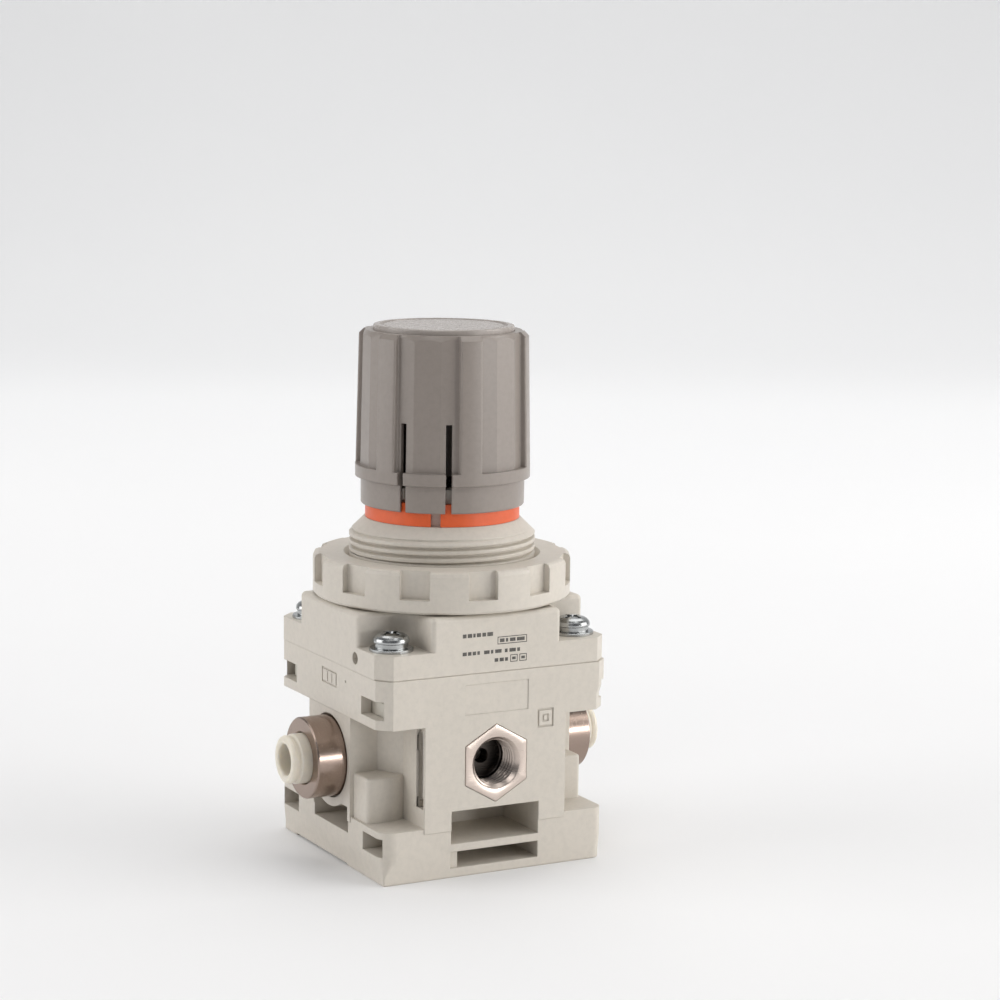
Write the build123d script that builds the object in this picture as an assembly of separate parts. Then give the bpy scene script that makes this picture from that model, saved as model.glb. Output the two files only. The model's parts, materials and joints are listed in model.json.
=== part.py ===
from build123d import *
import os
from math import sin, cos, tan, radians, pi, sqrt

# Compact vacuum regulator with a pull-to-unlock knob, a threaded neck with a
# ring nut, two push-in tube sockets and a hex gauge port insert.
# Millimetres, +Z up.  Origin: centre of the footprint on the surface that
# carries the part.  -Y is the gauge port face, -X and +X are the tube ports.

# ---------------------------------------------------------------- dimensions
# body housing
BX = 24.6            # half width of the upper block along X
BY = 23.8            # half depth along Y
CH = 2.5             # corner chamfer of the upper block
Z_SPLIT = 39.6       # parting plane between body and bonnet
Z_UP = 30.1          # underside of the upper block
Z_LOW = 10.25        # top of the lower flange
LX = 24.1            # half width of the lower flange
LY = 23.65           # half depth of the lower flange
LIP = 0.5            # the band at the body's top stands this much proud on the right side

# waist between the flanges
FPX = 15.3           # half width of the front and back plates
SPY = 9.5            # half width of the side plates
SPX = 24.3           # side plate face

# bonnet
Z_BON = 51.0         # top of the bonnet block
PKX = 13.9           # screw pocket starts at this |x|
PKY = 13.3           # and at this |y|
Z_PK = 44.45         # floor of the screw pockets
PK_R = 0.9           # rounding of the pocket's upright edges
TOP_R = 1.0          # rounding of the bonnet's top outline
SX, SY = 19.7, 17.9  # bonnet screw centres
R_NECK = 18.35       # thread major radius
R_MINOR = 17.43      # thread minor radius
PITCH = 1.5
Z_NECK = 66.5        # top face of the neck
Z_THREAD = 59.6      # the open thread starts above the ring nut
R_CONE = 15.35       # inner radius of the neck's top chamfer

# ring nut
NUT_R = 25.45
NUT_Z0, NUT_Z1 = 51.35, 59.45
NUT_NOTCH = 1.55     # depth of the wrench notches
NUT_FIT = 0.07

# knob (shown pulled up = unlocked)
KZ0 = 69.2           # lower edge
KZ1 = 103.3          # shoulder plane
CAPZ = 104.35        # top of the cap
RIB_AZ = -98.0       # azimuth of one grip rib
RIB_HALF = 7.6       # half angle of a rib
LOCK = 2.55          # lock travel

# tube ports
PZ = 20.5            # port axis height
SLV_R = 8.0          # nickel sleeve radius
SLV_X = 30.2         # sleeve end face
BTN_X = 34.0         # release button end face
TUBE_R = 3.05

# gauge port
GZ = 21.75
G_AF = 13.2

os.makedirs("parts", exist_ok=True)
OUT = {}


def put(name, shape):
    OUT[name] = shape


def cyl(r, z0, z1, x=0.0, y=0.0):
    return Pos(x, y, (z0 + z1) / 2) * Cylinder(r, z1 - z0)


def box(x0, x1, y0, y1, z0, z1):
    return Pos((x0 + x1) / 2, (y0 + y1) / 2, (z0 + z1) / 2) * Box(x1 - x0, y1 - y0, z1 - z0)


def cylx(r, x0, x1, y=0.0, z=PZ):
    return Pos((x0 + x1) / 2, y, z) * (Rot(0, 90, 0) * Cylinder(r, x1 - x0))


def cyly(r, y0, y1, x=0.0, z=GZ):
    return Pos(x, (y0 + y1) / 2, z) * (Rot(90, 0, 0) * Cylinder(r, y1 - y0))


def prism(points, z0, z1):
    f = make_face(Polyline(*[(p[0], p[1]) for p in points], close=True))
    return Pos(0, 0, z0) * extrude(f, z1 - z0)


def turned(points):
    """Revolve an (r, z) outline about the Z axis."""
    f = make_face(Plane.XZ * Polyline(*[(p[0], p[1]) for p in points], close=True))
    return revolve(f, Axis.Z)


def turned_x(points, z=PZ, side=-1):
    """Revolve a (|x|, r) outline about the port axis on the given side."""
    f = make_face(Plane.XZ * Polyline(*[(side * p[0], p[1]) for p in points], close=True))
    return Pos(0, 0, z) * revolve(f, Axis.X)


def hexa(af, z0, z1):
    return Pos(0, 0, z0) * extrude(RegularPolygon(af / 2, 6, major_radius=False), z1 - z0)


def four(make):
    out = None
    for sx in (-1, 1):
        for sy in (-1, 1):
            p = make(sx, sy)
            out = p if out is None else out + p
    return out


# ================================================================== BODY
def chamfered(hx, hy, c):
    return [(-hx + c, -hy), (hx - c, -hy), (hx, -hy + c), (hx, hy - c),
            (hx - c, hy), (-hx + c, hy), (-hx, hy - c), (-hx, -hy + c)]


upper = prism(chamfered(BX, BY, CH), Z_UP, Z_SPLIT)
# the top band stands proud on the right side and slopes back below
proud = [(x + LIP if x > 0 else x, y) for x, y in chamfered(BX, BY, CH)]
band = loft([Pos(0, 0, 33.2) * make_face(Polyline(*chamfered(BX, BY, CH), close=True)),
             Pos(0, 0, 34.6) * make_face(Polyline(*proud, close=True))])
band += prism(proud, 34.6, Z_SPLIT)

waist = prism([(-SPX, -SPY), (-18.5, -SPY), (-FPX, -14.5), (-FPX, -BY),
               (FPX, -BY), (FPX, -14.5), (18.5, -SPY), (SPX, -SPY),
               (SPX, SPY), (18.5, SPY), (FPX, 14.5), (FPX, BY),
               (-FPX, BY), (-FPX, 14.5), (-18.5, SPY), (-SPX, SPY)], Z_LOW - 1, Z_UP + 1)



def flange(hx, hy, ra, rb):
    """Flange outline with radius ra at two opposite corners and rb at the others."""
    f = Rectangle(2 * hx, 2 * hy)
    f = fillet(f.vertices().filter_by(lambda v: v.X * v.Y > 0), ra)
    return fillet(f.vertices().filter_by(lambda v: v.X * v.Y < 0 and abs(abs(v.X) - hx) < 0.01
                                         and abs(abs(v.Y) - hy) < 0.01), rb)


low = Pos(0, 0, 4.6) * extrude(flange(LX, LY, 3.0, 1.9), Z_LOW - 4.6)
low += loft([Pos(0, 0, 1.6) * flange(LX - 0.3, LY, 0.3, 1.8), Pos(0, 0, 4.6) * flange(LX, LY, 3.0, 1.9)])
foot = extrude(flange(LX - 0.3, LY, 0.3, 1.8), 1.6)
foot = chamfer(foot.faces().sort_by(Axis.Z)[0].edges(), 0.2)
low += foot

body = upper + band + waist + low

# bosses standing in the four corner recesses
for sx in (-1, 1):
    for sy in (-1, 1):
        b = box(sx * 23.5 if sx < 0 else FPX - 2.0, -FPX + 2.0 if sx < 0 else 23.5,
                -15.6 if sy < 0 else 7.0, -7.0 if sy < 0 else 15.6, Z_LOW - 0.5, 19.0)
        es = b.edges().filter_by(Axis.Z).filter_by(
            lambda e: abs(abs(e.center().X) - 23.5) < 0.1 and abs(abs(e.center().Y) - 15.6) < 0.1)
        b = fillet(es, 0.9)
        es = b.edges().filter_by(Axis.Z).filter_by(
            lambda e: abs(abs(e.center().X) - (FPX - 2.0)) < 0.1 and abs(abs(e.center().Y) - 15.6) < 0.1)
        b = fillet(es, 5.0)
        top = b.faces().sort_by(Axis.Z)[-1]
        es = top.edges().filter_by(lambda e: abs(e.center().X) > 23.0 or abs(e.center().Y) > 14.0)
        b = fillet(es, 0.5)
        body += b

# corner windows: nut pockets above, plain pockets below
for sx in (-1, 1):
    for sy in (-1, 1):
        for z0, z1 in ((32.0, 35.55), (5.35, 8.9)):
            x0, x1 = (-30.0, -16.85) if sx < 0 else (16.85, 30.0)
            y0, y1 = (-22.45, -15.0) if sy < 0 else (15.0, 22.45)
            body -= box(x0, x1, y0, y1, z0, z1)

# lightening tunnels low in the four sides, around the centre column
body -= box(-9.5, 9.5, -30, -9.6, 6.6, 13.1)
body -= box(-9.5, 9.5, 9.6, 30, 6.6, 13.1)
body -= box(-30, -9.6, -8.35, 7.25, 6.85, 12.0)
body -= box(9.6, 30, -7.25, 8.35, 6.85, 12.0)
# the tube sockets' round bosses hang into the side tunnels
body += (cylx(10.05, -SPX, -19.0) + cylx(10.05, 19.0, SPX)) & (box(-30, 30, -6.5, 6.5, 9.0, 12.6))
# low slots in the front and back
body -= box(-7.75, 9.5, -30, -10.4, 1.85, 5.1)
body -= box(-9.6, -7.6, -30, -BY + 0.9, 1.85, 5.1)
body -= box(-9.5, 7.75, 10.4, 30, 1.85, 5.1)
# relief under both sides so that the part stands on its corners
body -= box(-30, -13, -7.5, 16.5, -1, 0.45)
body -= box(13, 30, -16.5, 7.5, -1, 0.45)

# retaining clip slots, seen in the walls of the corner recesses
CLIP_X0, CLIP_X1 = 13.9, 15.0
for sx in (-1, 1):
    a, b_ = (-FPX - 1, -CLIP_X0 + 0.1) if sx < 0 else (CLIP_X0 - 0.1, FPX + 1)
    slot = box(a, b_, -23.25, -20.15, 14.0, 29.45)
    es = slot.edges().filter_by(Axis.X).filter_by(lambda e: e.center().Z > 20)
    slot = fillet(es, 1.3)
    body -= slot
    a, b_ = (-CLIP_X1 - 0.1, -CLIP_X0 + 0.1) if sx < 0 else (CLIP_X0 - 0.1, CLIP_X1 + 0.1)
    body -= box(a, b_, -21.0, 5.5, 25.05, 28.05)
    body -= box(a, b_, -21.0, 5.5, 12.95, 15.95)

# engraved frame on the front and a shallow label field
body -= box(-6.8, 6.9, -BY - 1, -BY + 0.12, 31.7, 37.55)
mark = box(9.0, 12.5, -BY - 1, -BY + 0.25, 27.75, 31.4) - box(9.35, 12.15, -BY - 2, -BY + 1, 28.1, 31.05)
body -= mark
body -= box(10.1, 11.4, -BY - 1, -BY + 0.2, 28.85, 30.3) - box(10.35, 11.15, -BY - 2, -BY + 1, 29.1, 30.05)
# engraved frame with two bars on the left face, and a small ejector dot
XF = -BX
body -= box(-30, XF + 0.25, -3.9, 2.9, 34.75, 37.75) - box(-31, 0, -3.5, 2.45, 35.1, 37.4)
body -= box(-30, XF + 0.25, -1.9, -1.55, 35.3, 37.2)
body -= box(-30, XF + 0.25, 0.1, 0.45, 35.3, 37.2)
body -= Pos(XF, -8.0, 36.8) * (Rot(0, 90, 0) * Cylinder(0.25, 0.4))

# tube port sockets, gauge port pocket, valve bores
for sx in (-1, 1):
    x0, x1 = (-30, -12.6) if sx < 0 else (12.6, 30)
    body -= cylx(6.75, x0, x1)
    a, b_ = (-30, -23.2) if sx < 0 else (23.2, 30)
    body -= cylx(8.32, a, b_)                      # dark ring gap round the sleeve
body -= cylx(3.0, -13, -5.5)                       # inlet to the lower chamber
body -= cylx(2.0, 9.3, 13)                         # outlet riser, low part
body -= cyl(2.0, 20.5, 37.0, x=9.6)                # outlet riser, up to the diaphragm room
hexcut = Pos(0, -BY + 3.0, GZ) * (Rot(90, 0, 0) * extrude(
    Rot(0, 0, 30) * RegularPolygon(G_AF / 2 + 0.09, 6, major_radius=False), 6))
body -= hexcut
body -= cyly(6.0, -BY + 2.9, -14.0)
body -= cyly(1.3, -14.5, -6.0)
body -= cyl(6.4, 9.5, 26.0)                        # lower valve chamber
body -= cyl(3.0, 25.5, 28.5)                       # seat opening
body -= cyl(6.4, 28.0, 36.7)                       # upper valve chamber
body -= cyl(14.5, 36.6, 39.7)                      # room under the diaphragm
body -= cyl(17.45, 38.8, 39.7)                     # diaphragm rim seat
body -= cyl(7.5, -1, 10.0)                         # bottom plug bore
body -= cyl(8.6, -1, 1.27)
for sx in (-1, 1):
    for sy in (-1, 1):
        body -= cyl(1.7, 28.0, 40.0, x=sx * SX, y=sy * SY)
put("body_housing", body)

# ================================================================ BONNET
edge = [(x - 0.06, y + (0.5 if y < -20 and x < -BX + 0.1 else 0)) if x < -BX + 0.1 else (x, y)
        for x, y in chamfered(BX, BY, CH)]
blk = prism(edge, Z_SPLIT, Z_BON)
blk = chamfer(blk.faces().sort_by(Axis.Z)[0].edges().filter_by(lambda e: e.center().X > -BX + 0.5), 0.16)
for sx in (-1, 1):
    for sy in (-1, 1):
        x0, x1 = (-30, -PKX) if sx < 0 else (PKX, 30)
        y0, y1 = (-30, -PKY) if sy < 0 else (PKY, 30)
        c = box(x0, x1, y0, y1, Z_PK, 60)
        es = c.edges().filter_by(Axis.Z).filter_by(
            lambda e: abs(abs(e.center().X) - PKX) < 0.1 and abs(abs(e.center().Y) - PKY) < 0.1)
        c = fillet(es, 4.2)
        blk -= c
es = blk.edges().filter_by(Axis.Z).filter_by(lambda e: e.center().Z > Z_PK + 1 and (
    abs(e.center().X) > BX - 0.2 and abs(abs(e.center().Y) - PKY) < 0.1
    or abs(e.center().Y) > BY - 0.1 and abs(abs(e.center().X) - PKX) < 0.1))
blk = fillet(es, PK_R)
blk = fillet(blk.faces().filter_by(Axis.Z).sort_by(Axis.Z)[-1].outer_wire().edges(), TOP_R)
neck = turned([(0, Z_BON - 3), (R_NECK, Z_BON - 3), (R_NECK, Z_THREAD), (R_MINOR, Z_THREAD + 0.25),
               (R_MINOR, Z_NECK - (R_MINOR - R_CONE)), (R_CONE, Z_NECK), (0, Z_NECK)])
bonnet = blk + neck
bonnet += cyl(13.9, Z_NECK - 0.5, 73.6)            # upstand inside the knob
bonnet -= cyl(10.9, Z_NECK + 0.6, 74)
# lock teeth round the upstand
for k in range(24):
    t = Rot(0, 0, k * 15) * box(13.6, 14.5, -0.55, 0.55, 71.4, 73.6)
    bonnet += t
# inside: diaphragm rim seat, spring room, screw bore
bonnet -= cyl(17.45, Z_SPLIT - 1, 40.0)
bonnet -= cyl(14.5, Z_SPLIT - 1, 43.2)
bonnet -= cyl(12.6, 43.0, 63.0)
for k in range(4):
    bonnet -= Rot(0, 0, 45 + 90 * k) * box(12.0, 14.0, -1.6, 1.6, 43.0, 63.0)
bonnet -= cyl(4.06, 62.0, 70.0)
bonnet -= cyl(5.6, 63.0 - 0.1, 64.6)               # O-ring room
for sx in (-1, 1):
    for sy in (-1, 1):
        bonnet -= cyl(1.7, Z_SPLIT - 1, Z_PK + 1, x=sx * SX, y=sy * SY)
# breather hole on the left face
bonnet -= Pos(-BX + 1.5, -12.35, 42.25) * (Rot(0, 90, 0) * Cylinder(1.2, 3.4))
put("bonnet", bonnet)

# ============================================================== RING NUT
nut = turned([(R_NECK + NUT_FIT, NUT_Z0 + 0.9), (R_NECK + NUT_FIT + 0.9, NUT_Z0),
              (NUT_R - 0.4, NUT_Z0), (NUT_R, NUT_Z0 + 0.4), (NUT_R, NUT_Z1 - 0.95),
              (NUT_R - 0.28, NUT_Z1 - 0.28), (NUT_R - 0.95, NUT_Z1),
              (R_NECK + NUT_FIT + 1.0, NUT_Z1), (R_NECK + NUT_FIT, NUT_Z1 - 1.3)])
for k in range(12):
    a = -128.6 + 30 * k
    nut -= Rot(0, 0, a) * box(NUT_R - NUT_NOTCH, NUT_R + 3, -2.87, 2.87, 54.0, NUT_Z1 + 1)
put("panel_nut", nut)

# ============================================================= LOCK RING
ring = cyl(15.22, Z_NECK + 0.02, 70.9) - cyl(13.96, Z_NECK - 1, 72)
ring -= Rot(0, 0, -121.8) * box(10, 20, -0.95, 0.95, Z_NECK - 1, 72)
put("lock_ring", ring)

# ================================================================== KNOB
shell = turned([(0, KZ0 + 5), (15.5, KZ0 + 5), (15.5, KZ0), (15.95, KZ0), (16.1, KZ0 + 0.2),
                (16.15, 74.35), (17.22, 74.6), (17.24, 77.0), (0, 77.0)])


def polar(r, deg):
    return (r * cos(radians(deg)), r * sin(radians(deg)))


def grip_section(out, deep, crown):
    """Six ribs with rounded corners, and between them shallow panels with a
    crowned middle facet and two side facets that fall towards the ribs."""
    edges = []
    for k in range(6):
        a = RIB_AZ + 60 * k
        rib = [polar(out, a - RIB_HALF), polar(out, a), polar(out, a + RIB_HALF)]
        edges.append(ThreePointArc(*rib))
        run = [rib[2], polar(deep, a + RIB_HALF), polar(crown, a + 20.7), polar(crown, a + 39.3),
               polar(deep, a + 60 - RIB_HALF), polar(out, a + 60 - RIB_HALF)]
        for p, q in zip(run, run[1:]):
            edges.append(Line(p, q))
    f = make_face(edges)
    outer = f.vertices().filter_by(lambda v: abs(sqrt(v.X ** 2 + v.Y ** 2) - out) < 0.01)
    f = fillet(outer, 0.38)
    inner = f.vertices().filter_by(lambda v: abs(sqrt(v.X ** 2 + v.Y ** 2) - deep) < 0.01)
    return fillet(inner, 0.22)


grip = loft([Pos(0, 0, 77.0) * grip_section(17.24, 15.98, 16.34),
             Pos(0, 0, KZ1) * grip_section(16.68, 15.56, 15.92)])
# shoulder chamfer over everything, and a lower one over the panels
grip -= turned([(16.72, 102.33), (20, 102.33), (20, 105), (14.8, 105), (14.8, KZ1), (15.75, KZ1)])
low_cut = turned([(15.95, 102.15), (20, 102.15), (20, 110), (10, 110), (10, KZ1 + 0.8),
                  (15.0, KZ1 + 0.8), (15.6, 102.75)])
for k in range(6):
    a = RIB_AZ + 60 * k
    w = prism([(0, 0), polar(30, a + RIB_HALF + 0.3), polar(30, a + 30), polar(30, a + 60 - RIB_HALF - 0.3)], 100, 112)
    grip -= low_cut & w
shell += grip
# inside: lock room, spring of the grip, hub with hex socket
shell -= cyl(14.75, KZ0 + 4, 99.8)
hub = cyl(7.6, 75.2, 100.5) - hexa(9.16, 74, 98.0)
knob = shell + hub
for k in range(6):
    knob += Rot(0, 0, RIB_AZ + 30 + 60 * k) * box(7.2, 15.0, -0.6, 0.6, 84.5, 100.2)
# lock teeth inside the grip, just above the fixed ones
for k in range(24):
    knob += Rot(0, 0, 7.5 + k * 15) * box(14.12, 15.2, -0.5, 0.5, 74.25, 76.2)
# snap fingers: two slits on opposite panels
for c in (RIB_AZ - 30, RIB_AZ + 150):
    for s in (-16.2, 16.2):
        knob -= Rot(0, 0, c - 1.0 + s) * box(13.0, 20, -0.6, 0.6, KZ0 - 1, 86.4)
knob -= cyl(13.9, KZ1 - 1.0, KZ1 + 1)
put("knob", knob)

cap = turned([(0, KZ1 - 0.98), (13.8, KZ1 - 0.98), (13.82, CAPZ - 0.35), (13.72, CAPZ - 0.1),
              (13.45, CAPZ), (12.6, CAPZ), (12.45, CAPZ - 0.32), (11.85, CAPZ - 0.32), (11.7, CAPZ - 0.12),
              (0, CAPZ - 0.12)])
put("knob_cap", cap)

# ====================================================== ADJUSTING SPINDLE
spindle = cyl(3.95, 44.8, 62.0) + cyl(4.0, 62.0, 69.0) + cyl(8.2, Z_NECK + 0.62, 69.4)
spindle += hexa(9.0, 69.4, 92.0)
spindle -= turned([(0, 44.7), (5, 44.7), (5, 45.3), (3.35, 44.79), (0, 44.79)])
# grooves for the retaining ring
spindle -= cyl(5, 61.9, 62.75) - cyl(3.3, 61, 64)
put("adjusting_spindle", spindle)

clip = cyl(5.2, 61.95, 62.7) - cyl(3.35, 61, 63) - box(-10, 0, -2.9, 2.9, 61, 63)
put("spindle_retaining_ring", clip)

oring = Pos(0, 0, 63.75) * Torus(4.83, 0.76)
put("spindle_o_ring", oring)

# =========================================================== SPRING NUT
SN0, SN1 = 55.0, 60.0
snut = cyl(12.2, SN0 + 2.4, SN1) + cyl(6.6, SN0 - 2.0, SN1)
for k in range(4):
    snut += Rot(0, 0, 45 + 90 * k) * box(11.0, 13.7, -1.35, 1.35, SN0 + 2.4, SN1)
snut -= cyl(4.02, SN0 - 3, SN1 + 1)
put("spring_nut", snut)


def spring(r_mean, r_wire, z0, z1, turns):
    """Helical compression spring whose outline spans z0 to z1."""
    h = z1 - z0 - 2 * r_wire
    path = Helix(pitch=h / turns, height=h, radius=r_mean)
    sec = Plane(origin=path @ 0, z_dir=path % 0) * Circle(r_wire)
    return Pos(0, 0, z0 + r_wire) * sweep(sec, path=path, is_frenet=True)


put("set_spring", spring(8.7, 1.1, 42.45, SN0 + 2.4, 4.0))

# ============================================================ DIAPHRAGM
dia = turned([(2.62, 40.6), (11.4, 40.6), (12.1, 41.3), (12.9, 41.3), (14.0, 39.0), (14.55, 38.82),
              (17.4, 38.82), (17.4, 39.98), (14.35, 39.98), (13.4, 42.1), (11.6, 42.1), (10.9, 41.4),
              (2.62, 41.4)])
put("diaphragm", dia)
plate_low = cyl(10.6, 39.5, 40.58) + cyl(2.55, 40.5, 44.0) - cyl(0.9, 39, 45)
put("diaphragm_plate_lower", plate_low)
plate_up = cyl(10.6, 41.42, 42.4) + cyl(7.3, 42.3, 43.4) - cyl(2.6, 41, 45)
put("diaphragm_plate_upper", plate_up)
put("plate_rivet_washer", cyl(4.6, 43.42, 44.0) - cyl(2.6, 43, 45))

# ================================================================ VALVE
poppet = turned([(0, 21.0), (3.6, 21.0), (3.6, 22.6), (5.0, 22.6), (5.0, 24.4), (2.2, 24.4),
                 (2.2, 25.2), (1.15, 25.2), (1.15, 38.9), (0.85, 39.48), (0, 39.48)])
put("valve_poppet", poppet)
put("valve_seal", cyl(4.9, 24.42, 25.97) - cyl(2.25, 24, 27))
put("valve_spring", spring(4.1, 0.35, 10.05, 22.55, 6.0))

# =========================================================== BOTTOM PLUG
plug = cyl(7.42, 1.0, 10.0) + cyl(8.5, 0.5, 1.25)
plug -= cyl(2.95, 3.5, 5.2)
plug -= hexa(6.0, 0, 3.55)
plug -= turned([(6.1, 5.6), (8, 5.6), (8, 7.4), (6.1, 7.4)])
plug -= cyl(1.0, 3, 11)
put("bottom_plug", plug)
put("bottom_plug_o_ring", Pos(0, 0, 6.5) * Torus(6.76, 0.64))
put("inlet_filter", cyl(2.9, 3.62, 5.18) - cyl(0.9, 3, 6))

# ============================================================ FASTENERS
ZH = Z_PK + 1.6      # underside of the screw heads
head = turned([(0, ZH), (3.38, ZH), (3.5, ZH + 0.12), (3.5, ZH + 0.45), (3.36, ZH + 0.9), (3.02, ZH + 1.3),
               (2.5, ZH + 1.6), (1.9, ZH + 1.76), (1.2, ZH + 1.85), (0, ZH + 1.88)])
cross = box(-2.1, 2.1, -0.42, 0.42, 46.75, 49) + box(-0.42, 0.42, -2.1, 2.1, 46.75, 49)
cross += Pos(0, 0, ZH + 1.92) * (Rot(180, 0, 0) * Cone(1.15, 0.5, 1.1, align=(Align.CENTER, Align.CENTER, Align.MIN)))
screw = head + cyl(1.5, 29.5, ZH + 0.1) - Rot(0, 0, 20) * cross
put("bonnet_screws", four(lambda a, b: Pos(a * SX, b * SY, 0) * screw))
washer = chamfer(cyl(4.2, Z_PK + 0.02, Z_PK + 0.6).faces().sort_by(Axis.Z)[-1].edges(), 0.1) - cyl(1.62, 44, 46)
put("bonnet_washers", four(lambda a, b: Pos(a * SX, b * SY, 0) * washer))
lockw = cyl(3.2, Z_PK + 0.62, Z_PK + 1.58) - cyl(1.62, 44, 47) - box(0, 5, -0.25, 0.25, 44, 47)
put("bonnet_lock_washers", four(lambda a, b: Pos(a * SX, b * SY, 0) * (Rot(0, 0, 130) * lockw)))
sq = Pos(0, 0, 33.55) * Box(5.5, 5.5, 2.9)
sq = chamfer(sq.faces().sort_by(Axis.Z)[-1].edges(), 0.25)
sq -= cyl(1.55, 31, 36)
put("corner_nuts", four(lambda a, b: Pos(a * SX, b * SY, 0) * sq))

# ===================================================== GAUGE PORT INSERT
ins = Pos(0, -BY - 0.12, GZ) * (Rot(-90, 0, 0) * extrude(
    Rot(0, 0, 30) * RegularPolygon(G_AF / 2, 6, major_radius=False), 3.0))
ins = chamfer(ins.faces().sort_by(Axis.Y)[0].edges(), 0.15)
ins += cyly(5.94, -BY + 2.8, -15.0)
ins -= cyly(4.35, -BY - 1, -BY + 6.2)
conec = Pos(0, -BY - 0.12, GZ) * (Rot(-90, 0, 0) * Cone(5.12, 4.35, 0.8, align=(Align.CENTER, Align.CENTER, Align.MIN)))
ins -= conec
ins -= cyly(1.35, -BY, -14)
ins -= cyly(6.2, -19.2, -17.6) - cyly(5.0, -20, -17)
put("gauge_port_insert", ins)
put("gauge_port_o_ring", Pos(0, -18.4, GZ) * (Rot(90, 0, 0) * Torus(5.52, 0.46)))

# ========================================================= TUBE FITTINGS
for side, tag in ((-1, "left"), (1, "right")):
    sleeve = turned_x([(12.7, 2.0), (12.7, 6.2), (13.0, 6.68), (13.85, 6.68), (13.85, 4.6), (15.05, 4.6), (15.05, 6.68),
                       (18.0, 6.68), (18.0, 5.6), (19.9, 5.6), (19.9, 6.68), (23.25, 6.68), (23.25, 7.55),
                       (23.45, SLV_R), (SLV_X - 0.25, SLV_R), (SLV_X, SLV_R - 0.25), (SLV_X, 5.3), (29.95, 5.05),
                       (22.0, 5.05), (22.0, 3.12), (15.5, 3.12), (15.5, 2.0)], side=side)
    put("fitting_sleeve_" + tag, sleeve)
    oring = Pos(side * 18.95, 0, PZ) * (Rot(0, 90, 0) * Torus(6.2, 0.52))
    put("fitting_o_ring_" + tag, oring)
    seal = turned_x([(22.05, 3.2), (22.05, 5.02), (24.4, 5.02), (24.4, 4.2), (24.0, 3.06), (23.2, 3.06), (22.9, 3.5)], side=side)
    put("tube_seal_" + tag, seal)
    ret = turned_x([(24.45, 3.3), (24.45, 5.02), (25.3, 5.02), (25.3, 3.3)], side=side)
    put("seal_retainer_" + tag, ret)
    col = turned_x([(25.35, 3.5), (25.35, 5.0), (25.75, 5.0), (26.35, 3.35), (26.2, 3.1), (25.8, 3.7), (25.7, 3.7)], side=side)
    for k in range(8):
        col -= Pos(0, 0, PZ) * (Rot(45 * k, 0, 0) * box(-40, 40, -0.15, 0.15, 2.0, 4.4))
    put("grip_collet_" + tag, col)
    btn = turned_x([(27.45, TUBE_R), (27.45, 3.35), (28.0, 4.25), (29.4, 4.25), (29.4, 4.92), (32.0, 4.92), (32.25, 4.65),
                    (32.45, 4.55), (32.7, 4.7), (33.3, 4.78), (33.75, 4.6), (BTN_X, 4.2), (BTN_X, 3.45),
                    (33.75, 3.15), (33.4, TUBE_R)], side=side)
    put("release_button_" + tag, btn)
    # retaining clip: web in the recess wall, two legs over the sleeve groove
    web = box(CLIP_X0, CLIP_X1, -22.6, -20.3, 15.4, 29.3)
    es = web.edges().filter_by(Axis.X).filter_by(lambda e: e.center().Y < -22)
    web = fillet(es, 1.2)
    es = web.edges().filter_by(Axis.X).filter_by(lambda e: e.center().Y > -20.5 and e.center().Z > 29)
    web = fillet(es, 1.0)
    es = web.faces().sort_by(Axis.X)[-1].edges().filter_by(lambda e: e.center().Y < -21.2)
    web = fillet(es, 0.3)
    leg = box(CLIP_X0, CLIP_X1, -20.9, 5.3, 25.15, 27.95) + box(CLIP_X0, CLIP_X1, -20.9, 5.3, 13.05, 15.85)
    legs = leg + web
    if side < 0:
        legs = mirror(legs, about=Plane.YZ)
    put("fitting_clip_" + tag, legs)

for name, shape in OUT.items():
    export_step(shape, "parts/" + name + ".step")
print(len(OUT), "nodes written")
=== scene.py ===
import json
import math

import bmesh
import bpy
from mathutils import Matrix, Vector


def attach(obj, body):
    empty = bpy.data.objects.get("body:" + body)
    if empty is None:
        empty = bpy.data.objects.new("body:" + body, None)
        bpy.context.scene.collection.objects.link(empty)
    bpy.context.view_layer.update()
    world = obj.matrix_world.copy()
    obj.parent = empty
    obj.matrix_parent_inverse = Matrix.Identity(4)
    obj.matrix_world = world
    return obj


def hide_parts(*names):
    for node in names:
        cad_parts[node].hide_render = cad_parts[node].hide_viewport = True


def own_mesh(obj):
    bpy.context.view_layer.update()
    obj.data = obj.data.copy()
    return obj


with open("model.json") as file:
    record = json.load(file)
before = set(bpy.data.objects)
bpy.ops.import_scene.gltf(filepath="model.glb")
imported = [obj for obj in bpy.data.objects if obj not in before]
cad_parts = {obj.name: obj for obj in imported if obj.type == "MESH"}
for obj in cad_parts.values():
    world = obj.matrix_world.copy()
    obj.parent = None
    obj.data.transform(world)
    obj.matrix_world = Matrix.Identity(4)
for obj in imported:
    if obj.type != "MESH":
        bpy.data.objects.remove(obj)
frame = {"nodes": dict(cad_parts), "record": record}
bpy.context.view_layer.update()
nodes = frame["nodes"]
scene = bpy.context.scene
MM = 0.001

# dimensions repeated from the CAD source, in mm
BY, BX = 23.8, 24.6
R_NECK, R_MINOR, PITCH, Z_THREAD, Z_NECK = 18.35, 17.43, 1.5, 59.6, 66.5
CAPZ = 104.35
GZ = 21.75
G_AF = 13.2

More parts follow.
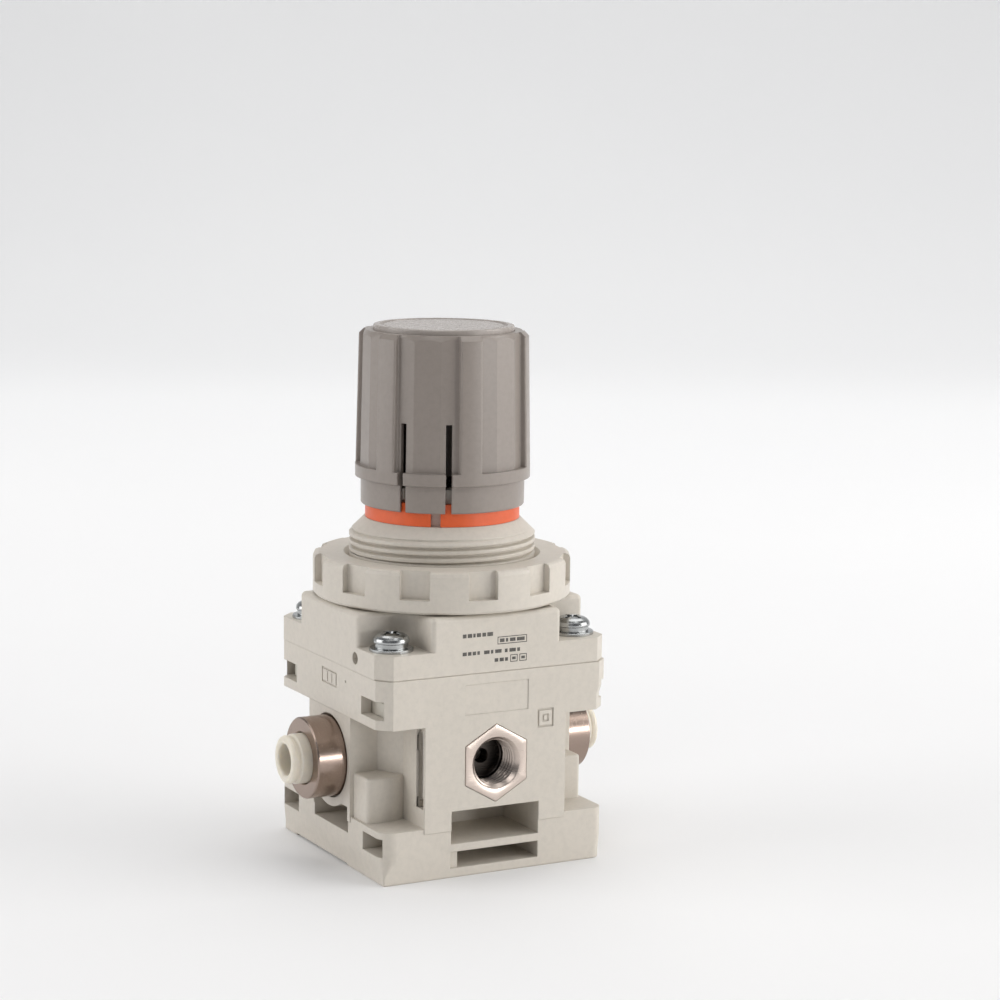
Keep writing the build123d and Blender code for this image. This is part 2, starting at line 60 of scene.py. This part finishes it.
# ------------------------------------------------------------------ camera
CAM = Vector((-244.09, -478.01, 152.68)) * MM
yaw, pitch, roll = math.radians(28.266), math.radians(8.795), math.radians(0.739)
fw = Vector((math.sin(yaw) * math.cos(pitch), math.cos(yaw) * math.cos(pitch), -math.sin(pitch)))
rt = Vector((math.cos(yaw), -math.sin(yaw), 0.0))
up = rt.cross(fw)
right = rt * math.cos(roll) + up * math.sin(roll)
cup = up * math.cos(roll) - rt * math.sin(roll)
cam_data = bpy.data.cameras.new("camera")
cam = bpy.data.objects.new("camera", cam_data)
scene.collection.objects.link(cam)
cam_data.sensor_width = 36.0
cam_data.lens = 99.09
cam_data.clip_start, cam_data.clip_end = 0.01, 20.0
rot = Matrix((right, cup, -fw)).transposed()
cam.matrix_world = Matrix.Translation(CAM) @ rot.to_4x4()
scene.camera = cam

# ------------------------------------------------------------------- world
scene.view_settings.view_transform = "Standard"
scene.view_settings.look = "None"
scene.view_settings.exposure = 0.0
scene.view_settings.gamma = 1.0
world = bpy.data.worlds.new("studio")
scene.world = world
world.use_nodes = True
bg = world.node_tree.nodes["Background"]
bg.inputs["Color"].default_value = (0.93, 0.95, 1.0, 1.0)
bg.inputs["Strength"].default_value = 0.17


def area(name, loc, target, size, size_y, power, color=(1, 1, 1), spread=180.0):
    d = bpy.data.lights.new(name, "AREA")
    d.shape = "RECTANGLE"
    d.size, d.size_y = size, size_y
    d.energy = power
    d.color = color
    d.spread = math.radians(spread)
    o = bpy.data.objects.new(name, d)
    scene.collection.objects.link(o)
    o.location = loc
    o.rotation_mode = "QUATERNION"
    o.rotation_quaternion = (Vector(target) - Vector(loc)).to_track_quat("-Z", "Y")
    return o


def cam_dir(side, ahead, z):
    """A point given by metres to the image's right, away from the camera, and up."""
    a = Vector((math.cos(yaw), -math.sin(yaw), 0)) * side + Vector((math.sin(yaw), math.cos(yaw), 0)) * ahead
    return Vector((a.x, a.y, z))


area("key_right", cam_dir(1.15, -0.05, 0.42), (0, 0, 0.05), 0.9, 0.9, 9.0, (1.0, 0.985, 0.965))
area("top", cam_dir(0.1, 0.30, 1.15), (0, 0, 0.03), 1.3, 1.3, 9.4, (1.0, 0.99, 0.975))
area("fill_left", cam_dir(-1.1, -0.15, 0.42), (0, 0, 0.05), 0.9, 0.9, 6.6, (1.0, 0.99, 0.98))
area("fill_high", cam_dir(-0.25, -0.95, 1.05), (0, 0, 0.05), 0.6, 0.6, 2.2, (1.0, 0.99, 0.98))
area("strip_front", cam_dir(1.0, -0.67, 0.15), (0, 0, 0.03), 0.28, 0.11, 2.3, (1.0, 0.99, 0.975))


# --------------------------------------------------------------- materials
def graph(name):
    m = bpy.data.materials.new(name)
    m.use_nodes = True
    nt = m.node_tree
    nt.nodes.clear()
    out = nt.nodes.new("ShaderNodeOutputMaterial")
    b = nt.nodes.new("ShaderNodeBsdfPrincipled")
    nt.links.new(b.outputs["BSDF"], out.inputs["Surface"])
    return m, nt, b


def noise(nt, vec, scale, detail=3.0, rough=0.5, dist=0.0):
    n = nt.nodes.new("ShaderNodeTexNoise")
    n.inputs["Scale"].default_value = scale
    n.inputs["Detail"].default_value = detail
    n.inputs["Roughness"].default_value = rough
    n.inputs["Distortion"].default_value = dist
    nt.links.new(vec, n.inputs["Vector"])
    return n.outputs["Fac"]


def ramp(nt, fac, stops):
    r = nt.nodes.new("ShaderNodeValToRGB")
    els = r.color_ramp.elements
    while len(els) < len(stops):
        els.new(0.5)
    for e, (p, c) in zip(els, stops):
        e.position = p
        e.color = (*c, 1.0)
    nt.links.new(fac, r.inputs["Fac"])
    return r.outputs["Color"]


def remap(nt, fac, a, b, lo, hi):
    r = nt.nodes.new("ShaderNodeMapRange")
    r.inputs["From Min"].default_value = a
    r.inputs["From Max"].default_value = b
    r.inputs["To Min"].default_value = lo
    r.inputs["To Max"].default_value = hi
    nt.links.new(fac, r.inputs["Value"])
    return r.outputs["Result"]


def math_node(nt, op, a, b=None):
    n = nt.nodes.new("ShaderNodeMath")
    n.operation = op
    for i, v in enumerate((a, b)):
        if v is None:
            continue
        if isinstance(v, (int, float)):
            n.inputs[i].default_value = v
        else:
            nt.links.new(v, n.inputs[i])
    return n.outputs[0]


def mix_color(nt, fac, a, b, kind="MIX"):
    n = nt.nodes.new("ShaderNodeMix")
    n.data_type = "RGBA"
    n.blend_type = kind
    for s, v in (("Factor", fac), ("A", a), ("B", b)):
        sock = [i for i in n.inputs if i.name == s and (i.type == "RGBA" or s == "Factor" and i.type == "VALUE")][0]
        if isinstance(v, (int, float)):
            sock.default_value = v
        elif isinstance(v, tuple):
            sock.default_value = (*v, 1.0)
        else:
            nt.links.new(v, sock)
    return [o for o in n.outputs if o.type == "RGBA"][0]


def coords(nt, kind="Object"):
    return nt.nodes.new("ShaderNodeTexCoord").outputs[kind]


def rounded(nt, radius_mm):
    n = nt.nodes.new("ShaderNodeBevel")
    n.samples = 6
    n.inputs["Radius"].default_value = radius_mm * MM
    return n.outputs["Normal"]


def bump(nt, height, dist_mm, strength=1.0, normal=None):
    n = nt.nodes.new("ShaderNodeBump")
    n.inputs["Strength"].default_value = strength
    n.inputs["Distance"].default_value = dist_mm * MM
    nt.links.new(height, n.inputs["Height"])
    if normal is not None:
        nt.links.new(normal, n.inputs["Normal"])
    return n.outputs["Normal"]


def lin(rgb):
    """sRGB 0..255 to linear."""
    return tuple(((c / 255 + 0.055) / 1.055) ** 2.4 if c > 10.31 else c / 255 / 12.92 for c in rgb)


def scaled(c, k):
    return tuple(min(1.0, x * k) for x in c)


def plastic(name, rgb, rough=(0.42, 0.52), grain=2600.0, grain_mm=0.012, edge=0.16, vary=0.05,
            sss=0.0, sss_mm=(0.8, 0.7, 0.5), spec=0.5, coat=0.0, edge_highlight=0.06):
    m, nt, b = graph(name)
    vec = coords(nt)
    base = lin(rgb)
    # slow colour drift of the moulding, faint flow streaks, and a fine speckle
    slow = noise(nt, vec, 46.0, 3.0, 0.55, 0.4)
    fine = noise(nt, vec, 900.0, 4.0, 0.65)
    col = ramp(nt, slow, [(0.28, scaled(base, 1 - vary)), (0.72, scaled(base, 1 + vary))])
    speck = ramp(nt, fine, [(0.30, (0.94, 0.94, 0.94)), (0.55, (1.0, 1.0, 1.0)), (0.8, (1.04, 1.03, 1.02))])
    col = mix_color(nt, 1.0, col, speck, "MULTIPLY")
    # painted highlight: convex edges are lightened to stand in for the light their rounding catches
    geo = nt.nodes.new("ShaderNodeNewGeometry")
    edge_highlight_mask = remap(nt, geo.outputs["Pointiness"], 0.50, 0.58, 0.0, edge_highlight)
    col = mix_color(nt, edge_highlight_mask, col, scaled(base, 1.25))
    nt.links.new(col, b.inputs["Base Color"])
    rr = noise(nt, vec, 420.0, 3.0, 0.6)
    nt.links.new(remap(nt, rr, 0.3, 0.7, rough[0], rough[1]), b.inputs["Roughness"])
    h = noise(nt, vec, grain, 2.0, 0.5)
    soft = noise(nt, vec, 260.0, 2.0, 0.5)
    height = math_node(nt, "ADD", h, math_node(nt, "MULTIPLY", soft, 1.6))
    nt.links.new(bump(nt, height, grain_mm, 0.55, rounded(nt, edge)), b.inputs["Normal"])
    b.inputs["Specular IOR Level"].default_value = spec
    if sss:
        b.inputs["Subsurface Weight"].default_value = sss
        b.inputs["Subsurface Radius"].default_value = sss_mm
        b.inputs["Subsurface Scale"].default_value = MM
    if coat:
        b.inputs["Coat Weight"].default_value = coat
        b.inputs["Coat Roughness"].default_value = 0.3
    return m


def metal(name, rgb, rough=(0.25, 0.38), axis=None, line=4200.0, line_mm=0.004, stain=0.10, edge=0.08, dark=None,
          aniso=0.0):
    """Metal with machining lines across the given axis ("X", "Y", "Z" or None for a tumbled finish)."""
    m, nt, b = graph(name)
    vec = coords(nt)
    base = lin(rgb)
    lo = lin(dark) if dark else scaled(base, 1 - stain)
    slow = noise(nt, vec, 130.0, 4.0, 0.6, 0.3)
    col = ramp(nt, slow, [(0.3, lo), (0.7, scaled(base, 1.0))])
    nt.links.new(col, b.inputs["Base Color"])
    b.inputs["Metallic"].default_value = 1.0
    if axis:
        sep = nt.nodes.new("ShaderNodeSeparateXYZ")
        nt.links.new(vec, sep.inputs[0])
        comb = nt.nodes.new("ShaderNodeCombineXYZ")
        nt.links.new(sep.outputs[axis], comb.inputs["X"])
        lines = noise(nt, comb.outputs[0], line, 3.0, 0.7)
    else:
        lines = noise(nt, vec, line * 0.35, 3.0, 0.6)
    fine = noise(nt, vec, 1500.0, 3.0, 0.6)
    nt.links.new(remap(nt, math_node(nt, "ADD", lines, math_node(nt, "MULTIPLY", fine, 0.6)), 0.5, 1.1, rough[0], rough[1]),
                 b.inputs["Roughness"])
    nt.links.new(bump(nt, lines, line_mm, 0.5, rounded(nt, edge)), b.inputs["Normal"])
    if aniso:
        b.inputs["Anisotropic"].default_value = aniso
    return m


def port_metal(name, rgb):
    """Machined nickel plate with painted shade that darkens it with depth inside the threaded bore."""
    m, nt, b = graph(name)
    vec = coords(nt)
    base = lin(rgb)
    sep = nt.nodes.new("ShaderNodeSeparateXYZ")
    nt.links.new(vec, sep.inputs[0])
    # painted shade: the bore colour takes over from the face colour with depth into the port
    depth = remap(nt, sep.outputs["Y"], -0.0238, -0.0205, 0.0, 1.0)
    slow = noise(nt, vec, 160.0, 4.0, 0.6, 0.3)
    face = ramp(nt, slow, [(0.3, scaled(base, 0.93)), (0.7, base)])
    # painted highlight on the thread crests, painted shade in the roots and at the bore's far end
    zc = math_node(nt, "SUBTRACT", sep.outputs["Z"], GZ * MM)
    rad = math_node(nt, "SQRT", math_node(nt, "ADD", math_node(nt, "MULTIPLY", sep.outputs["X"], sep.outputs["X"]),
                                          math_node(nt, "MULTIPLY", zc, zc)))
    root = remap(nt, rad, 0.00436, 0.00458, 0.0, 1.0)
    crest_highlight = ramp(nt, slow, [(0.3, scaled(base, 0.50)), (0.7, scaled(base, 0.68))])
    root_shade = ramp(nt, slow, [(0.3, scaled(base, 0.02)), (0.7, scaled(base, 0.05))])
    bore = mix_color(nt, root, crest_highlight, root_shade)
    far_end_shade_mask = remap(nt, sep.outputs["Y"], -0.0190, -0.0182, 0.0, 1.0)
    bore = mix_color(nt, far_end_shade_mask, bore, scaled(base, 0.10))
    nt.links.new(mix_color(nt, depth, face, bore), b.inputs["Base Color"])
    b.inputs["Metallic"].default_value = 1.0
    comb = nt.nodes.new("ShaderNodeCombineXYZ")
    nt.links.new(sep.outputs["Z"], comb.inputs["X"])
    lines = noise(nt, comb.outputs[0], 5200.0, 3.0, 0.7)
    nt.links.new(remap(nt, lines, 0.3, 0.7, 0.24, 0.36), b.inputs["Roughness"])
    nt.links.new(bump(nt, lines, 0.003, 0.5, rounded(nt, 0.05)), b.inputs["Normal"])
    return m


def rubber(name, rgb=(28, 28, 29)):
    m, nt, b = graph(name)
    vec = coords(nt)
    base = lin(rgb)
    col = ramp(nt, noise(nt, vec, 300.0, 4.0, 0.6), [(0.3, scaled(base, 0.8)), (0.75, scaled(base, 1.5))])
    nt.links.new(col, b.inputs["Base Color"])
    nt.links.new(remap(nt, noise(nt, vec, 900.0, 3.0), 0.3, 0.7, 0.45, 0.65), b.inputs["Roughness"])
    nt.links.new(bump(nt, noise(nt, vec, 2200.0, 2.0), 0.01, 0.5), b.inputs["Normal"])
    return m


def felt(name):
    m, nt, b = graph(name)
    vec = coords(nt)
    v = nt.nodes.new("ShaderNodeTexVoronoi")
    v.inputs["Scale"].default_value = 2600.0
    nt.links.new(vec, v.inputs["Vector"])
    col = ramp(nt, v.outputs["Distance"], [(0.1, lin((228, 226, 216))), (0.7, lin((186, 183, 172)))])
    nt.links.new(col, b.inputs["Base Color"])
    nt.links.new(remap(nt, noise(nt, vec, 1200.0), 0.3, 0.7, 0.8, 0.95), b.inputs["Roughness"])
    nt.links.new(bump(nt, v.outputs["Distance"], 0.06, 0.8), b.inputs["Normal"])
    return m


def ink(name):
    m, nt, b = graph(name)
    vec = coords(nt)
    col = ramp(nt, noise(nt, vec, 3000.0, 3.0, 0.7), [(0.35, lin((66, 63, 60))), (0.75, lin((112, 108, 102)))])
    nt.links.new(col, b.inputs["Base Color"])
    nt.links.new(remap(nt, noise(nt, vec, 1500.0), 0.3, 0.7, 0.5, 0.7), b.inputs["Roughness"])
    return m


M = {
    "body_resin": plastic("body_resin", (206, 199, 188), rough=(0.38, 0.47), edge=0.26, vary=0.016, grain_mm=0.008),
    "knob_resin": plastic("knob_resin", (143, 134, 127), rough=(0.28, 0.36), edge=0.30, vary=0.02, grain_mm=0.006),
    # the cap's lighter resin is partly its own paler tone and partly painted sheen from the overhead light on its
    # top
    "cap_resin_sheen": plastic("cap_resin_sheen", (166, 158, 152), rough=(0.25, 0.30), edge=0.20, vary=0.015, grain=1200.0, grain_mm=0.0008),
    "lock_orange": plastic("lock_orange", (222, 92, 38), rough=(0.34, 0.44), edge=0.12, vary=0.03, sss=0.08),
    "white_resin": plastic("white_resin", (226, 219, 205), rough=(0.30, 0.38), edge=0.12, vary=0.015, sss=0.45,
                           sss_mm=(1.2, 1.1, 0.8)),
    # painted shade: the sleeves' nickel has a darker base than the port's copy, standing in for the darker
    # surroundings it reflects
    "nickel_plate": metal("nickel_plate", (166, 148, 137), rough=(0.20, 0.30), axis="X", stain=0.10),
    # painted light: the port insert's copy of the same nickel has a lighter base, standing in for the bright floor
    # its hex flats reflect
    "port_nickel_painted_light": port_metal("port_nickel_painted_light", (214, 200, 190)),
    "zinc_steel": metal("zinc_steel", (186, 188, 188), rough=(0.17, 0.30), axis=None, stain=0.22),
    "nut_zinc": metal("nut_zinc", (214, 210, 200), rough=(0.42, 0.55), axis=None, stain=0.12),
    "stainless_clip": metal("stainless_clip", (178, 174, 168), rough=(0.24, 0.36), axis="Z", stain=0.12),
    "bright_steel": metal("bright_steel", (190, 190, 190), rough=(0.22, 0.34), axis="Z"),
    "spring_steel": metal("spring_steel", (128, 128, 131), rough=(0.3, 0.42), axis=None),
    "brass_metal": metal("brass_metal", (205, 172, 105), rough=(0.25, 0.36), axis="Z"),
    "black_rubber": rubber("black_rubber"),
    "filter_felt": felt("filter_felt"),
    "print_ink": ink("print_ink"),
}

slot_of = {s["node"]: s["material_slot"] for s in frame["record"]["subparts"]}
special = {"knob_cap": "cap_resin_sheen", "gauge_port_insert": "port_nickel_painted_light", "corner_nuts": "nut_zinc"}
for name, o in nodes.items():
    mat = M[special.get(name, slot_of[name])]
    if not o.material_slots:
        o.data.materials.append(mat)
    for ms in o.material_slots:
        ms.material = mat


# ------------------------------------------------------------- mesh helper
def make(name, verts, faces, mat, body, smooth_deg=35.0, smooth=True):
    me = bpy.data.meshes.new(name)
    me.from_pydata([Vector(v) * MM for v in verts], [], faces)
    me.validate()
    bm = bmesh.new()
    bm.from_mesh(me)
    bmesh.ops.remove_doubles(bm, verts=bm.verts, dist=1e-7)
    bmesh.ops.recalc_face_normals(bm, faces=bm.faces)
    bm.to_mesh(me)
    bm.free()
    o = bpy.data.objects.new(name, me)
    scene.collection.objects.link(o)
    me.materials.append(M[mat])
    if smooth:
        me.shade_smooth()
        me.set_sharp_from_angle(angle=math.radians(smooth_deg))
    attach(o, body)
    return o


# -------------------------------------------------- neck thread (one start)
def trapezoid(p):
    """Thread height 0..1 over one pitch, flat crest, sloping flanks, narrow root."""
    p %= 1.0
    if p < 0.16:
        return 0.0
    if p < 0.34:
        return (p - 0.16) / 0.18
    if p < 0.82:
        return 1.0
    return 1.0 - (p - 0.82) / 0.18


def neck_thread():
    n_a, z0, z1 = 240, Z_THREAD + 0.02, 64.42
    n_z = 76
    verts, faces = [], []
    rows = []
    for i in range(n_z + 1):
        z = z0 + (z1 - z0) * i / n_z
        row = []
        for k in range(n_a):
            a = 2 * math.pi * k / n_a
            h = trapezoid((z - 61.05) / PITCH - k / n_a - 0.33)
            cone = R_MINOR - (z - (Z_NECK - (R_MINOR - R_CONE)))
            fade = 1.0
            if i == n_z:
                fade = 0.0
            r_top = min(R_MINOR + (R_NECK - R_MINOR) * h, R_CONE + (Z_NECK - z) + 0.02 + 0.0)
            r = max(min(r_top, R_NECK), min(R_MINOR, cone) + 0.0) if fade else min(R_MINOR, cone) - 0.02
            if i == 0:
                r = R_NECK - 0.01
            row.append(len(verts))
            verts.append((r * math.cos(a), r * math.sin(a), z))
        rows.append(row)
    inner = []
    for z in (z1, z0):
        row = []
        for k in range(n_a):
            a = 2 * math.pi * k / n_a
            row.append(len(verts))
            verts.append(((R_MINOR - 0.3) * math.cos(a), (R_MINOR - 0.3) * math.sin(a), z))
        inner.append(row)
    loops = rows + inner
    for i in range(len(loops)):
        a_, b_ = loops[i], loops[(i + 1) % len(loops)]
        for k in range(n_a):
            j = (k + 1) % n_a
            faces.append((a_[k], a_[j], b_[j], b_[k]))
    return make("neck_thread", verts, faces, "body_resin", "housing", 28.0)


R_CONE = 15.35
neck_thread()


# ---------------------------------------------- gauge port with its thread
def gauge_insert():
    n = 180
    loops = []

    def hexr(a, af):
        a = (a - math.radians(0)) % math.radians(60) - math.radians(30)
        return af / 2 / math.cos(a)

    def loop(y, rf):
        row = []
        for k in range(n):
            a = 2 * math.pi * k / n
            r = rf(a, k / n) if callable(rf) else rf
            row.append((r * math.cos(a), y, GZ + r * math.sin(a)))
        loops.append(row)

    y0 = -BY - 0.12

    def hx(d=0.0):
        # flats face left and right, corners point up and down
        return lambda a, t: hexr(a + math.radians(30), G_AF - 2 * d)

    loop(-15.0, 1.35)
    loop(-15.0, 5.94)
    loop(-17.6, 5.94)
    loop(-17.6, 5.0)
    loop(-19.2, 5.0)
    loop(-19.2, 5.94)
    loop(-BY + 2.88, 5.94)
    loop(-BY + 2.88, hx())
    loop(y0 + 0.10, hx())
    loop(y0 + 0.03, hx(0.04))
    loop(y0, hx(0.12))
    loop(y0, 5.22)
    loop(y0 + 0.05, 5.12)
    ys, r_min, depth, p = y0 + 0.05, 4.35, 0.52, 0.907
    steps = 96
    for i in range(1, steps + 1):
        y = ys + (5.0) * i / steps
        chamf = 5.12 - (y - ys) * 1.0

        def rf(a, t, y=y, chamf=chamf):
            ph = ((y - ys) / p + t) % 1.0
            v = abs(ph * 2 - 1)
            h = min(1.0, max(0.0, (v - 0.12) / 0.76))
            taper = 1.0 - (y - ys) * 0.012
            return max((r_min + depth * h) * taper, chamf)
        loop(y, rf)
    loop(-BY + 5.2, 4.30)
    loop(-BY + 6.05, 4.30)
    loop(-BY + 6.2, 4.1)
    loop(-BY + 6.2, 1.5)
    loop(-BY + 6.35, 1.35)
    verts = [v for row in loops for v in row]
    faces = []
    for i in range(len(loops)):
        j = (i + 1) % len(loops)
        for k in range(n):
            q = (k + 1) % n
            faces.append((i * n + k, i * n + q, j * n + q, j * n + k))
    o = make("gauge_port_threaded", verts, faces, "port_nickel_painted_light", "housing", 30.0)
    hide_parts("gauge_port_insert")
    return o


gauge_insert()


# ------------------------------------ springs and diaphragm
def coil(name, r_mean, r_wire, z0, z1, turns):
    """A round-wire compression spring from z0 to z1."""
    n_a, n_s = int(30 * turns), 14
    h = z1 - z0 - 2 * r_wire
    verts, faces = [], []
    slope = h / turns / (2 * math.pi * r_mean)
    for i in range(n_a + 1):
        t = i / n_a
        a = 2 * math.pi * turns * t
        er = Vector((math.cos(a), math.sin(a), 0.0))
        tangent = Vector((-math.sin(a), math.cos(a), slope)).normalized()
        side = tangent.cross(er)
        c = er * r_mean + Vector((0, 0, z0 + r_wire + h * t))
        for k in range(n_s):
            b = 2 * math.pi * k / n_s
            verts.append(c + er * (0.995 * r_wire * math.cos(b)) + side * (0.995 * r_wire * math.sin(b)))
    for i in range(n_a):
        for k in range(n_s):
            q = (k + 1) % n_s
            faces.append((i * n_s + k, i * n_s + q, (i + 1) * n_s + q, (i + 1) * n_s + k))
    faces.append(tuple(range(n_s - 1, -1, -1)))
    faces.append(tuple(n_a * n_s + k for k in range(n_s)))
    o = make(name + "_coil", verts, faces, "spring_steel", "housing", 50.0)
    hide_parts(name)
    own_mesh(o)
    return o


coil("set_spring", 8.7, 1.1, 42.45, 57.4, 4.0)
coil("valve_spring", 4.1, 0.35, 10.05, 22.55, 6.0)


def rolling_diaphragm():
    """The moulded rubber disc with its rolled fold, turned about the upright axis."""
    prof = [(2.62, 40.6), (11.4, 40.6), (12.1, 41.3), (12.9, 41.3), (14.0, 39.0), (14.55, 38.82), (17.4, 38.82),
            (17.4, 39.98), (14.35, 39.98), (13.4, 42.1), (11.6, 42.1), (10.9, 41.4), (2.62, 41.4)]
    n = 96
    verts = [(r * math.cos(2 * math.pi * k / n), r * math.sin(2 * math.pi * k / n), z) for r, z in prof for k in range(n)]
    faces = []
    for i in range(len(prof)):
        j = (i + 1) % len(prof)
        for k in range(n):
            q = (k + 1) % n
            faces.append((i * n + k, i * n + q, j * n + q, j * n + k))
    o = make("rolling_diaphragm", verts, faces, "black_rubber", "housing", 35.0)
    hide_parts("diaphragm")
    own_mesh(o)
    return o


rolling_diaphragm()


# --------------------------------------- plain printed marks on the bonnet
def front_marks():
    """Rows of short solid bars and two framed fields, standing a hair proud of the bonnet's front."""
    boxes = []

    def bars(z0, z1, spans):
        boxes.extend((a, b, z0, z1) for a, b in spans)

    def frame_of(x0, x1, z0, z1, t=0.16):
        boxes.extend([(x0, x1, z0, z0 + t), (x0, x1, z1 - t, z1),
                      (x0, x0 + t, z0 + t, z1 - t), (x1 - t, x1, z0 + t, z1 - t)])

    bars(46.75, 47.5, [(-7.5, -6.7), (-6.45, -5.5), (-5.25, -4.75), (-4.5, -3.6), (-3.3, -2.5), (-2.25, -1.0)])
    frame_of(0.0, 6.4, 44.95, 46.45)
    bars(45.35, 46.05, [(0.5, 1.5), (1.8, 2.3), (2.7, 3.9), (4.2, 5.9)])
    bars(43.3, 44.0, [(-7.5, -6.6), (-6.35, -5.6), (-5.35, -4.6), (-4.35, -3.8), (-2.9, -1.7), (-1.4, -0.9),
                      (-0.5, 0.9), (1.6, 2.2), (2.6, 4.0), (4.3, 4.9)])
    bars(41.6, 42.3, [(-0.6, 0.2), (0.5, 1.4), (1.65, 2.3)])
    frame_of(2.8, 4.4, 41.3, 42.75)
    bars(41.75, 42.3, [(3.2, 4.0)])
    frame_of(4.8, 6.4, 41.3, 42.75)
    bars(41.75, 42.3, [(5.2, 6.0)])
    verts, faces = [], []
    ya, yb = -BY - 0.012, -BY + 0.03
    for x0, x1, z0, z1 in boxes:
        k = len(verts)
        for y in (ya, yb):
            verts += [(x0, y, z0), (x1, y, z0), (x1, y, z1), (x0, y, z1)]
        faces += [(k, k + 1, k + 2, k + 3), (k + 7, k + 6, k + 5, k + 4), (k, k + 4, k + 5, k + 1),
                  (k + 1, k + 5, k + 6, k + 2), (k + 2, k + 6, k + 7, k + 3), (k + 3, k + 7, k + 4, k)]
    me = bpy.data.meshes.new("front_marks")
    me.from_pydata([Vector(v) * MM for v in verts], [], faces)
    me.validate()
    o = bpy.data.objects.new("front_marks", me)
    scene.collection.objects.link(o)
    me.materials.append(M["print_ink"])
    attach(o, "housing")
    return o


front_marks()

# ------------------------------------------------------------------- floor
def sweep():
    """Pale paper sweep: a flat floor that curves up behind the part."""
    pts = [(-3.0, 0.0), (0.9, 0.0)]
    for i in range(1, 25):
        a = math.pi / 2 * i / 24
        pts.append((0.9 + 0.9 * math.sin(a), 0.9 - 0.9 * math.cos(a)))
    pts.append((1.8, 3.2))
    verts, faces = [], []
    for s in (-3.2, 3.2):
        for d, z in pts:
            p = cam_dir(s, d, z)
            verts.append((p.x, p.y, p.z))
    n = len(pts)
    for i in range(n - 1):
        faces.append((i, i + 1, n + i + 1, n + i))
    me = bpy.data.meshes.new("floor")
    me.from_pydata(verts, [], faces)
    me.shade_smooth()
    o = bpy.data.objects.new("floor", me)
    scene.collection.objects.link(o)
    m, nt, b = graph("floor_paper")
    vec = coords(nt)
    col = ramp(nt, noise(nt, vec, 3.0, 2.0), [(0.3, (0.80, 0.80, 0.805)), (0.7, (0.82, 0.82, 0.822))])
    nt.links.new(col, b.inputs["Base Color"])
    nt.links.new(remap(nt, noise(nt, vec, 40.0), 0.3, 0.7, 0.75, 0.85), b.inputs["Roughness"])
    b.inputs["Specular IOR Level"].default_value = 0.2
    b.inputs["Emission Color"].default_value = (0.98, 0.99, 1.0, 1.0)
    # the paper glows faintly, more towards the back of the sweep
    sep = nt.nodes.new("ShaderNodeSeparateXYZ")
    nt.links.new(vec, sep.inputs[0])
    ahead = math_node(nt, "ADD", math_node(nt, "MULTIPLY", sep.outputs["X"], math.sin(yaw)),
                      math_node(nt, "MULTIPLY", sep.outputs["Y"], math.cos(yaw)))
    low = remap(nt, ahead, 0.05, 0.75, 0.04, 0.22)
    high = remap(nt, sep.outputs["Z"], 0.25, 1.1, 0.0, 0.10)
    nt.links.new(math_node(nt, "SUBTRACT", low, high), b.inputs["Emission Strength"])
    me.materials.append(m)
    return o


sweep()

bpy.context.view_layer.update()
